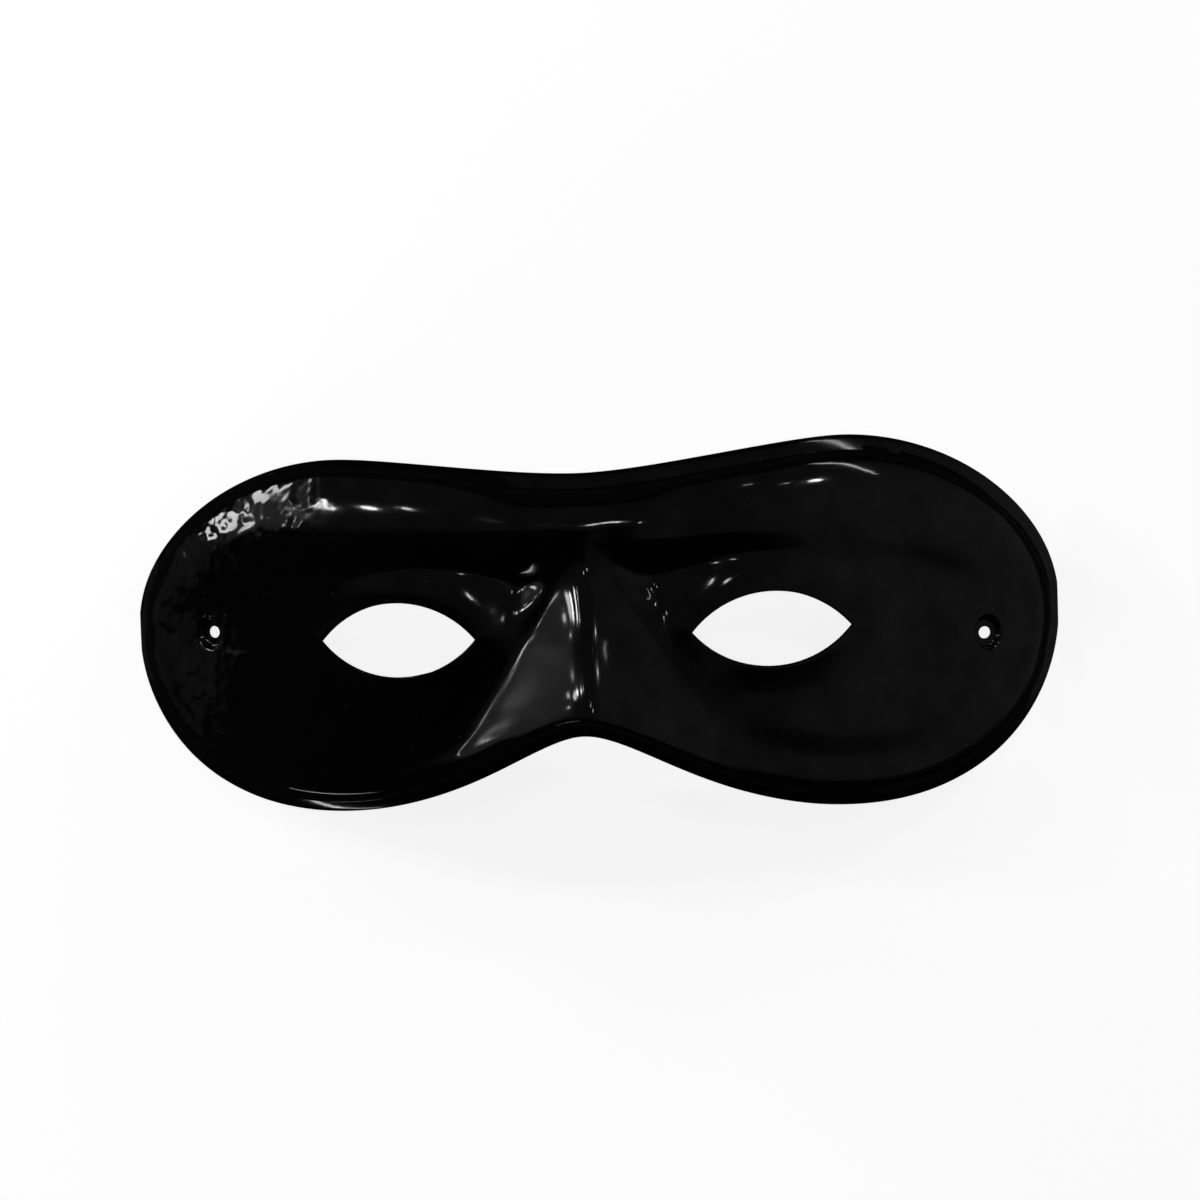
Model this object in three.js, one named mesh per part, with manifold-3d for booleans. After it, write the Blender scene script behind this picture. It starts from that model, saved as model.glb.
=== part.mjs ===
// Half-mask for the eyes and nose, moulded in one sheet of glossy black plastic.
// Millimetres. X runs across the face, Y up the face and Z out of it. The mask lies on its back,
// hollow side down, and its origin is on the resting plane in the middle of its footprint.
import * as THREE from "three";
import { mergeGeometries, mergeVertices } from "three/addons/utils/BufferGeometryUtils.js";
import Module from "manifold-3d";

// Outline of one lobe: the edge's level stretches, from the top notch round to the nose notch,
// and how far the curve leaves each of them before it turns.
const HALF_WIDTH = 94.2;
const END_Y = -0.5;
const TOP_NOTCH_Y = 28.1;
const LOBE_TOP = { x: 50.3, y: 33.2 };
const LOBE_BOTTOM = { x: 51.6, y: -37.6 };
const NOSE_NOTCH_Y = -22.1;
const REACH = {
  topNotch: 14.3,
  topInner: 10.9,
  topOuter: 22.2,
  sideUp: 18.2,
  sideDown: 21.1,
  bottomOuter: 25.8,
  bottomInner: 27.1,
  noseNotch: 9.7,
};
// The sheet was trimmed a little taller on the right lobe than on the left one.
const TRIM_SKEW = 0.04;

// Sheet and its wrap round the head.
const SHEET = 0.8;
const WRAP_RADIUS = 130;
const BEND_RADIUS = 260;

// Rim, which droops towards its edge above and below. Along the right lobe's brow it is wider, and
// along the left one's it is narrower and droops more, as the sheet was pulled in there.
const RIM = { low: 1.9, brow: 3, browLeft: 1.4 };
const RIM_DROOP = { slope: 0.42, left: 0.8, fromY: 8, fullY: 22, round: 0.4 };
// How far out the left lobe's own rim begins, and where it has its full share.
const LEFT_LOBE = { fromX: -12, fullX: -30 };

// Steep side wall, and the crown that rounds over from it to the ridge that runs round each lobe
// as brow, temple and cheek.
const WALL = { low: 3, brow: 4.2, width: 2, widthAtNotch: 3.2, foot: 0.15 };
const CROWN = { low: 0.5, brow: 2.7, moreAtNotch: 1.3 };
const RIDGE_IN = { low: 5.2, brow: 12.6, moreAtNotch: 1.8 };
const NOTCH = { fromX: 22, fullX: 10 };
const BROW = { fromY: -5, fullY: 20 };
const BROW_SHELF = 2;
const LOW_SHELF = 3.5;

// Bowl round the eye: deepest under the inner brow and shallow at the temple. Below the eye the
// surface swells a little instead.
const BOWL_DEPTH = { low: -0.5, inner: 4.2, outer: 0.6, innerX: 16, outerX: 50, topY: 10, lowY: -12 };
const BOWL_RUN = { low: 7, inner: 11.5, outer: 15 };
const BOWL_BLEND = 5;
const BOWL_NOSE_SIDE = { top: 1.6, low: 0.9, topY: 9, lowY: 0 };

// Eye opening, two equal arcs that meet in corners, and the eyelid, a dome round it in the bowl.
const EYE = { x: 36.2, y: -3, halfWidth: 15.4, halfHeight: 7.2, tilt: THREE.MathUtils.degToRad(0.6) };
const EYE_LINE_STEPS = 96;
const LID_TOP = { slope: 0.1, bend: 0.03, rise: 0.8 };
const LID_LOW = { slope: 0.28, bend: 0.01, rise: 1.8 };
const LID_TURN = { share: 0.8, from: THREE.MathUtils.degToRad(-25) };
const LID_OUTER_EASE = 0.3;
const VALLEY_ROUND = 1.4;

// Nose: its ridge rises towards the nose notch, and its flat flanks spread.
const NOSE = { height: 5, fromY: 14, fullY: -16, ridgeRadius: 2.5, footRound: 0.12 };
const NOSE_RISE = { height: 8.5, fromY: 20, fullY: -22, power: 1.4 };
const NOSE_LEAN = { top: 0.5, low: 1.6, halfWidth: 25 };
const FLANK = { top: 5, topY: 7, spread: 0.64, round: 3 };
const BRIDGE_DIP = { depth: 1.2, y: 11, halfHeight: 6, halfWidth: 12 };

// Seats of the elastic, sunk at the temples, each with a hole punched straight down.
const STRAP_LEFT = { x: -75.9, y: -1 };
const STRAP_RIGHT = { x: 78.5, y: -6 };
const HOLE_RADIUS = 1.2;
const SEAT_FLOOR_RADIUS = 2.6;
const SEAT_RADIUS = 3.7;
const SEAT_DEPTH = 1.1;
const SEAT_SIDES = 16;
const LIP_WIDTH = 0.7;
const LIP_LAP = 0.45;
const LIP_SINK = 0.3;

// The two outermost stretches of the rim are trimmed flat this deep, and the mask lies on them.
const FOOT_TRIM = 0.9;

// Fineness of the faces. Rows round the eye are given as shares of the way in from the ridge.
const CURVE_STEPS = 13;
const CENTRE_STEPS = 13;
const WALL_ROWS = [0, 0.05, 0.16, 0.36, 0.64, 1];
const CROWN_ROWS = [0.25, 0.6, 1];
const EYE_ROWS = {
  low: [0, 0.1, 0.2, 0.3, 0.45, 0.62, 0.76, 0.88, 1],
  brow: [0, 0.14, 0.27, 0.38, 0.5, 0.61, 0.73, 0.86, 1],
};
const GRADIENT_STEP = 0.05;

const GLOSS_BLACK = { color: 0x0b0b0c, roughness: 0.12, metalness: 0 };

const lerp = THREE.MathUtils.lerp;

// Rises from 0 to 1 while t does, level at both ends.
function smooth(t) {
  const u = Math.min(Math.max(t, 0), 1);
  return u * u * (3 - 2 * u);
}

// How far a value has come from one limit to another, eased at both ends.
function eased(value, from, to) {
  return smooth((value - from) / (to - from));
}

// The positive part of a value, rounded where it starts.
function rounded(value, round) {
  return (value + Math.hypot(value, round)) / 2;
}

// The half outline on one side, from the top notch to the nose notch. side is 1 for right, -1 for left.
function halfOutline(side) {
  const top = [0, TOP_NOTCH_Y];
  const lobeTop = [LOBE_TOP.x, LOBE_TOP.y];
  const end = [HALF_WIDTH, END_Y];
  const lobeBottom = [LOBE_BOTTOM.x, LOBE_BOTTOM.y];
  const notch = [0, NOSE_NOTCH_Y];
  const curves = [
    [top, [REACH.topNotch, top[1]], [lobeTop[0] - REACH.topInner, lobeTop[1]], lobeTop],
    [lobeTop, [lobeTop[0] + REACH.topOuter, lobeTop[1]], [end[0], end[1] + REACH.sideUp], end],
    [end, [end[0], end[1] - REACH.sideDown], [lobeBottom[0] + REACH.bottomOuter, lobeBottom[1]], lobeBottom],
    [lobeBottom, [lobeBottom[0] - REACH.bottomInner, lobeBottom[1]], [REACH.noseNotch, notch[1]], notch],
  ];
  const stretches = curves.map((points) => {
    const curve = new THREE.CubicBezierCurve(...points.map(([x, y]) => new THREE.Vector2(x, y)));
    return curve.getSpacedPoints(CURVE_STEPS);
  });
  const path = [stretches[0][0], ...stretches.flatMap((points) => points.slice(1))];
  return path.map(({ x, y }) => {
    const skewed = y * (1 + (TRIM_SKEW * side * x) / HALF_WIDTH);
    return new THREE.Vector2(side * x, skewed);
  });
}

const OUTLINE = [...halfOutline(1), ...halfOutline(-1).reverse().slice(1, -1)];

// Distance from a point to a closed line of straight stretches.
function distanceTo(line, x, y) {
  let best = Infinity;
  line.forEach((a, i) => {
    const b = line[(i + 1) % line.length];
    const dx = b.x - a.x;
    const dy = b.y - a.y;
    const along = ((x - a.x) * dx + (y - a.y) * dy) / (dx * dx + dy * dy);
    const t = Math.min(Math.max(along, 0), 1);
    best = Math.min(best, Math.hypot(x - a.x - t * dx, y - a.y - t * dy));
  });
  return best;
}

// Radius of the eye opening at an angle from its own long axis.
function eyeRadius(angle) {
  const arc = (EYE.halfWidth ** 2 + EYE.halfHeight ** 2) / (2 * EYE.halfHeight);
  const sunk = arc - EYE.halfHeight;
  const root = Math.sqrt(arc ** 2 - (sunk * Math.cos(angle)) ** 2);
  return root - sunk * Math.abs(Math.sin(angle));
}

// A point of the right eye opening's edge at an angle from its own long axis.
function eyePoint(angle) {
  const r = eyeRadius(angle);
  const turned = angle + EYE.tilt;
  return new THREE.Vector2(EYE.x + r * Math.cos(turned), EYE.y + r * Math.sin(turned));
}

const EYE_LINE = Array.from({ length: EYE_LINE_STEPS }, (_, i) => {
  return eyePoint((i / EYE_LINE_STEPS) * 2 * Math.PI);
});

// Height of the eyelid over the ridge's level: it falls gently above the eye and steeply below it.
function lidHeight(a, y) {
  const angle = Math.atan2(y - EYE.y, a - EYE.x) - EYE.tilt;
  const far = Math.hypot(a - EYE.x, y - EYE.y);
  const out = far > eyeRadius(angle) ? distanceTo(EYE_LINE, a, y) : 0;
  const top = smooth(0.5 + LID_TURN.share * Math.sin(angle + LID_TURN.from));
  const slope = lerp(LID_LOW.slope, LID_TOP.slope, top);
  const bend = lerp(LID_LOW.bend, LID_TOP.bend, top);
  const ease = 1 - LID_OUTER_EASE * top * smooth(Math.cos(angle));
  return lerp(LID_LOW.rise, LID_TOP.rise, top) - out * (slope + bend * out) * ease;
}

// How far from the middle the nose's flank ends at a height.
function flankEnd(y) {
  return FLANK.top + FLANK.spread * rounded(FLANK.topY - y, FLANK.round);
}

// Share of the nose's height across it: 1 on the rounded ridge, falling straight to its foot.
function noseAcross(a, y) {
  const r = NOSE.ridgeRadius;
  const off = (Math.hypot(a, r) - r) / (Math.hypot(flankEnd(y), r) - r);
  return rounded(1 - off, NOSE.footRound);
}

// How much of the brow a height has.
function browShare(y) {
  return eased(y, BROW.fromY, BROW.fullY);
}

// How far a place is into the left lobe.
function leftShare(x) {
  return eased(x, LEFT_LOBE.fromX, LEFT_LOBE.fullX);
}

// How wide the rim is.
function rimWidth(x, y) {
  return lerp(RIM.low, lerp(RIM.brow, RIM.browLeft, leftShare(x)), browShare(y));
}

// How wide the wall is: wider at the top notch.
function wallWidth(a, y) {
  return lerp(WALL.width, WALL.widthAtNotch, eased(a, NOTCH.fromX, NOTCH.fullX) * browShare(y));
}

// How far in from the edge the ridge stands: further at the brow and at the nose notch.
function ridgeIn(a, y) {
  const notch = y < 0 ? eased(a, NOTCH.fromX, NOTCH.fullX) : 0;
  return lerp(RIDGE_IN.low, RIDGE_IN.brow, browShare(y)) + RIDGE_IN.moreAtNotch * notch;
}

// Height of the crown over the wall, with the ridge's place as share 1 of the way.
function crownHeight(a, y, share) {
  const brow = CROWN.brow + CROWN.moreAtNotch * eased(a, NOTCH.fromX, NOTCH.fullX);
  const t = Math.min(Math.max(share, 0), 1);
  return lerp(CROWN.low, brow, browShare(y)) * (1 - (1 - t) ** 2);
}

// Share of the wall's height at a distance in from its foot: a quarter of an ellipse.
function wallShare(past, width) {
  const x = Math.max(past, 0);
  const t = Math.min(x ** 2 / (x + WALL.foot) / width, 1);
  return Math.sqrt(1 - (1 - t) ** 2);
}

// The smaller of two distances, rounded where they meet.
function blend(one, other) {
  const share = Math.min(Math.max(0.5 + (other - one) / (2 * BOWL_BLEND), 0), 1);
  return lerp(other, one, share) - BOWL_BLEND * share * (1 - share);
}

// How far the bowl round the eye sinks the surface at a distance in from the edge.
function bowlDepth(a, y, edge) {
  const brow = browShare(y);
  const inner = eased(a, BOWL_DEPTH.outerX, BOWL_DEPTH.innerX);
  const upper = eased(y, BOWL_DEPTH.lowY, BOWL_DEPTH.topY);
  const bridge = eased(y, BOWL_NOSE_SIDE.lowY, BOWL_NOSE_SIDE.topY);
  const noseSide = lerp(BOWL_NOSE_SIDE.low, BOWL_NOSE_SIDE.top, bridge);
  const fromRidge = edge - ridgeIn(a, y) - lerp(LOW_SHELF, BROW_SHELF, brow);
  const fromNose = ((a - flankEnd(y)) / Math.hypot(1, FLANK.spread)) * noseSide;
  const run = lerp(BOWL_RUN.low, lerp(BOWL_RUN.outer, BOWL_RUN.inner, inner), brow);
  const depth = lerp(BOWL_DEPTH.low, lerp(BOWL_DEPTH.outer, BOWL_DEPTH.inner, inner), upper);
  return depth * smooth(blend(fromRidge, fromNose) / run);
}

// Height of the nose and its bridge over the brow's level. up is the share of the side wall climbed.
function noseHeight(a, y, up) {
  const risen = Math.min(Math.max((NOSE_RISE.fromY - y) / (NOSE_RISE.fromY - NOSE_RISE.fullY), 0), 1);
  const height = NOSE.height * eased(y, NOSE.fromY, NOSE.fullY);
  const bump = (value, halfWidth) => Math.exp(-((value / halfWidth) ** 2));
  const dip = bump(y - BRIDGE_DIP.y, BRIDGE_DIP.halfHeight) * bump(a, BRIDGE_DIP.halfWidth);
  const across = NOSE_RISE.height * risen ** NOSE_RISE.power + height * up;
  return across * noseAcross(a, y) - BRIDGE_DIP.depth * dip * up;
}

// How far the nose's ridge stands to the right of the middle.
function noseLean(y) {
  return lerp(NOSE_LEAN.top, NOSE_LEAN.low, eased(y, NOSE.fromY, NOSE.fullY));
}

// Height of the outer surface over the top of the wrap.
function outerHeight(x, y) {
  const a = Math.abs(x - noseLean(y) * Math.exp(-((x / NOSE_LEAN.halfWidth) ** 2)));
  const edge = distanceTo(OUTLINE, x, y);
  const wrap = Math.sqrt(WRAP_RADIUS ** 2 - x * x) - WRAP_RADIUS - (y * y) / (2 * BEND_RADIUS);
  const rim = rimWidth(x, y);
  const up = wallShare(edge - rim, wallWidth(a, y));
  const climb = lerp(WALL.low, WALL.brow, browShare(y)) * up;
  const wall = climb + crownHeight(a, y, (edge - rim) / (ridgeIn(a, y) - rim));
  const slope = lerp(RIM_DROOP.slope, RIM_DROOP.left, leftShare(x) * browShare(y));
  const droop = slope * eased(Math.abs(y), RIM_DROOP.fromY, RIM_DROOP.fullY);
  const bowl = -bowlDepth(a, y, edge);
  const lid = lidHeight(a, y);
  const inside = (bowl + lid + Math.hypot(bowl - lid, VALLEY_ROUND)) / 2;
  return wrap + noseHeight(a, y, up) + wall + inside - droop * rounded(rim - edge, RIM_DROOP.round);
}

// Outward normal of the outer surface.
function outerNormal(x, y) {
  const h = GRADIENT_STEP;
  const slopeX = (outerHeight(x + h, y) - outerHeight(x - h, y)) / (2 * h);
  const slopeY = (outerHeight(x, y + h) - outerHeight(x, y - h)) / (2 * h);
  return new THREE.Vector3(-slopeX, -slopeY, 1).normalize();
}

const lowest = outerHeight(HALF_WIDTH, END_Y) - SHEET * outerNormal(HALF_WIDTH, END_Y).z;
const RAISE = -lowest - FOOT_TRIM;

function onOuter({ x, y }) {
  return new THREE.Vector3(x, y, outerHeight(x, y) + RAISE);
}

function onInner({ x, y }) {
  return onOuter({ x, y }).addScaledVector(outerNormal(x, y), -SHEET);
}

// Unit vectors that point from each point of a half outline into the sheet.
function inwardNormals(edge, side) {
  return edge.map((p, i) => {
    if (i === 0) return new THREE.Vector2(0, -1);
    if (i === edge.length - 1) return new THREE.Vector2(0, 1);
    const along = edge[i + 1].clone().sub(edge[i - 1]).normalize();
    return new THREE.Vector2(along.y, -along.x).multiplyScalar(side);
  });
}

// Flat grid over one side. Open rows follow the rim from notch to notch, closed rows go round the eye,
// and both meet the other side's along the nose's ridge.
function sideGrid(side) {
  const outline = halfOutline(side);
  const inward = inwardNormals(outline, side);
  const onRidge = (y) => new THREE.Vector2(noseLean(y), y);
  const rowAt = (depthOf) => {
    const row = outline.map((p, i) => p.clone().addScaledVector(inward[i], depthOf(p)));
    return row.map((p, i) => (i > 0 && i < row.length - 1 ? p : onRidge(p.y)));
  };
  const wallTop = (p) => rimWidth(p.x, p.y) + wallWidth(Math.abs(p.x), p.y) + WALL.foot;
  const wallRow = (share) => rowAt((p) => lerp(rimWidth(p.x, p.y), wallTop(p), share));
  const crownRow = (share) => rowAt((p) => lerp(wallTop(p), ridgeIn(Math.abs(p.x), p.y), share));
  const rimRows = [rowAt(() => 0), ...WALL_ROWS.map(wallRow), ...CROWN_ROWS.map(crownRow)];

  const ridge = rimRows.at(-1);
  const steps = Array.from({ length: CENTRE_STEPS - 1 }, (_, i) => (i + 1) / CENTRE_STEPS);
  const loop = [...ridge, ...steps.map((t) => onRidge(lerp(ridge.at(-1).y, ridge[0].y, t)))];
  const angles = loop.map((p) => Math.atan2(p.y - EYE.y, side * p.x - EYE.x) - EYE.tilt);
  for (const corner of [0, Math.PI]) {
    const off = angles.map((angle) => 1 - Math.cos(angle - corner));
    angles[off.indexOf(Math.min(...off))] = corner;
  }
  const eyeEdge = angles.map((angle) => eyePoint(angle).multiply(new THREE.Vector2(side, 1)));
  const eyeRows = EYE_ROWS.low.map((low, row) => {
    const shareAt = (y) => lerp(low, EYE_ROWS.brow[row], browShare(y));
    return loop.map((p, i) => p.clone().lerp(eyeEdge[i], shareAt(p.y)));
  });
  return { rimRows, eyeRows };
}

// One side of the shell: outer face, inner face a sheet's thickness under it, and the cut edges.
function sideShell(side) {
  const { rimRows, eyeRows } = sideGrid(side);
  const points = [...rimRows, ...eyeRows].flat();
  const count = points.length;
  const faces = [];
  const quad = (a, b, c, d) => {
    const corners = side > 0 ? [a, b, c, d] : [d, c, b, a];
    faces.push([corners[0], corners[1], corners[2]], [corners[0], corners[2], corners[3]]);
  };
  const sheetQuad = (a, b, c, d) => {
    quad(a, b, c, d);
    quad(d + count, c + count, b + count, a + count);
  };
  const rows = (first, length, number, steps) => {
    for (let row = 0; row < number - 1; row++)
      for (let i = 0; i < steps; i++) {
        const a = first + row * length + i;
        const d = first + row * length + ((i + 1) % length);
        sheetQuad(a, a + length, d + length, d);
      }
  };
  const rimLength = rimRows[0].length;
  const eyeLength = eyeRows[0].length;
  const eyeFirst = rimRows.length * rimLength;
  rows(0, rimLength, rimRows.length, rimLength - 1);
  rows(eyeFirst, eyeLength, eyeRows.length, eyeLength);
  for (let i = 0; i < rimLength - 1; i++) quad(i, i + 1, i + 1 + count, i + count);
  const opening = count - eyeLength;
  for (let i = 0; i < eyeLength; i++) {
    const next = opening + ((i + 1) % eyeLength);
    quad(next, opening + i, opening + i + count, next + count);
  }

  const positions = [...points.map(onOuter), ...points.map(onInner)].flatMap((v) => v.toArray());
  const geometry = new THREE.BufferGeometry();
  geometry.setAttribute("position", new THREE.Float32BufferAttribute(positions, 3));
  return geometry.setIndex(faces.flat());
}

const wasm = await Module();
wasm.setup();

function toSolid(geometry) {
  const bare = new THREE.BufferGeometry();
  bare.setAttribute("position", geometry.getAttribute("position"));
  bare.setIndex(geometry.index);
  const merged = mergeVertices(bare, 1e-3);
  const vertProperties = new Float32Array(merged.attributes.position.array);
  const triVerts = new Uint32Array(merged.index.array);
  return new wasm.Manifold(new wasm.Mesh({ numProp: 3, vertProperties, triVerts }));
}

function toGeometry(solid) {
  const { vertProperties, triVerts } = solid.getMesh();
  const geometry = new THREE.BufferGeometry();
  geometry.setAttribute("position", new THREE.BufferAttribute(vertProperties, 3));
  geometry.setIndex(new THREE.BufferAttribute(triVerts, 1));
  geometry.computeVertexNormals();
  return geometry;
}

// Stands a geometry made along Y on the outer surface at a temple, along the surface's normal.
function atTemple(geometry, x, y) {
  const turn = new THREE.Quaternion().setFromUnitVectors(new THREE.Vector3(0, 1, 0), outerNormal(x, y));
  const place = new THREE.Matrix4().compose(onOuter({ x, y }), turn, new THREE.Vector3(1, 1, 1));
  return geometry.applyMatrix4(place);
}

// The round seat: a flat floor, a sloping side and a lip joined to the sheet. It is turned as a
// ring, with a pilot hole that the punch takes away.
function seat(x, y) {
  const pilot = HOLE_RADIUS / 4;
  const section = [
    [pilot, -SEAT_DEPTH],
    [pilot, -SEAT_DEPTH - SHEET],
    [SEAT_FLOOR_RADIUS, -SEAT_DEPTH - SHEET],
    [SEAT_RADIUS, -SHEET],
    [SEAT_RADIUS + LIP_WIDTH, -SHEET],
    [SEAT_RADIUS + LIP_WIDTH, -LIP_SINK],
    [SEAT_RADIUS, -LIP_SINK],
    [SEAT_FLOOR_RADIUS, -SEAT_DEPTH],
  ];
  const ring = [...section, section[0]].map(([r, h]) => new THREE.Vector2(r, h));
  return toSolid(atTemple(new THREE.LatheGeometry(ring, SEAT_SIDES), x, y));
}

// The round of sheet that the seat takes the place of.
function seatClearing(x, y) {
  const radius = SEAT_RADIUS + LIP_WIDTH - LIP_LAP;
  return toSolid(atTemple(new THREE.CylinderGeometry(radius, radius, 6 * SHEET, SEAT_SIDES), x, y));
}

// What the punch takes out of the seat's floor.
function punched(x, y) {
  const punch = new THREE.CylinderGeometry(HOLE_RADIUS, HOLE_RADIUS, 6 * SHEET, SEAT_SIDES);
  const floor = onOuter({ x, y }).addScaledVector(outerNormal(x, y), -SEAT_DEPTH - SHEET / 2);
  return toSolid(punch.rotateX(Math.PI / 2).translate(...floor.toArray()));
}

function makeMaskShell() {
  let shell = toSolid(mergeGeometries([sideShell(1), sideShell(-1)]));
  for (const { x, y } of [STRAP_LEFT, STRAP_RIGHT]) {
    shell = shell.subtract(seatClearing(x, y)).add(seat(x, y)).subtract(punched(x, y));
  }
  const table = 3 * HALF_WIDTH;
  const under = new THREE.BoxGeometry(table, table, WALL.brow).translate(0, 0, -WALL.brow / 2);
  shell = shell.subtract(toSolid(under));
  const geometry = toGeometry(shell);
  geometry.computeBoundingBox();
  const middle = geometry.boundingBox.getCenter(new THREE.Vector3());
  return geometry.translate(-middle.x, -middle.y, 0);
}

const mask = new THREE.Group();
const shell = new THREE.Mesh(makeMaskShell(), new THREE.MeshStandardMaterial(GLOSS_BLACK));
shell.name = "mask_shell";
mask.add(shell);

export default mask;
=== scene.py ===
import logging
import math
from dataclasses import dataclass, field
from enum import Enum

import bmesh
import bpy
import numpy as np
from mathutils import Matrix, Vector


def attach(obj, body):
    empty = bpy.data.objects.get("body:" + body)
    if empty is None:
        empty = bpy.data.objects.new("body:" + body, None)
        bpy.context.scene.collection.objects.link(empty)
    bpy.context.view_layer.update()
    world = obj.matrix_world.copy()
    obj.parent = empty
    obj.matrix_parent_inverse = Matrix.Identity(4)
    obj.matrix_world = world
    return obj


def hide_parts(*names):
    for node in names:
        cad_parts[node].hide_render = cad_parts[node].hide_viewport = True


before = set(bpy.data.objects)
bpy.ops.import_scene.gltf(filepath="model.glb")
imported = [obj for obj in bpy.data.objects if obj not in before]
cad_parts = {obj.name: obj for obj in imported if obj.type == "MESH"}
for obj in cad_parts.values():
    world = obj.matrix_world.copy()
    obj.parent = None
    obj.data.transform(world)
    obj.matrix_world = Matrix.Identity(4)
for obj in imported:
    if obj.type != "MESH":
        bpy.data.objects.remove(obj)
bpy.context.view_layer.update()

MM = 0.001
PHOTO_PIXELS = 1200
# Points measured in one go, which keeps the arrays small.
BATCH = 6000
# A noise texture's values lie round this one.
NOISE_MIDDLE = 0.5
WHITE = (1.0, 1.0, 1.0, 1.0)
logger = logging.getLogger("half_mask")


class Side(Enum):
    """One side of the mask, as the sign of X."""

    RIGHT = 1
    LEFT = -1


def smooth(t: np.ndarray) -> np.ndarray:
    """Rises from 0 to 1 while t does, level at both ends."""
    u = np.clip(t, 0.0, 1.0)
    return u * u * (3.0 - 2.0 * u)


def mix(low: float, high: float, share: np.ndarray) -> np.ndarray:
    """Goes from low to high as share goes from 0 to 1."""
    return low + (high - low) * share


def distance_to(line: np.ndarray, x: np.ndarray, y: np.ndarray) -> np.ndarray:
    """Measures how far points are from a closed line of straight stretches.

    Args:
        line: The line's corners, one row each.
        x: The points' X.
        y: The points' Y.

    Returns:
        The distance of each point, in the line's own unit.
    """
    steps = np.roll(line, -1, axis=0) - line
    squares = (steps**2).sum(axis=1)
    batches = max(1, len(x) // BATCH)
    found = []
    for px, py in zip(np.array_split(x, batches), np.array_split(y, batches)):
        dx = px[:, None] - line[:, 0]
        dy = py[:, None] - line[:, 1]
        t = np.clip((dx * steps[:, 0] + dy * steps[:, 1]) / squares, 0.0, 1.0)
        found.append(np.sqrt(((dx - t * steps[:, 0]) ** 2 + (dy - t * steps[:, 1]) ** 2).min(axis=1)))
    return np.concatenate(found)


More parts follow.
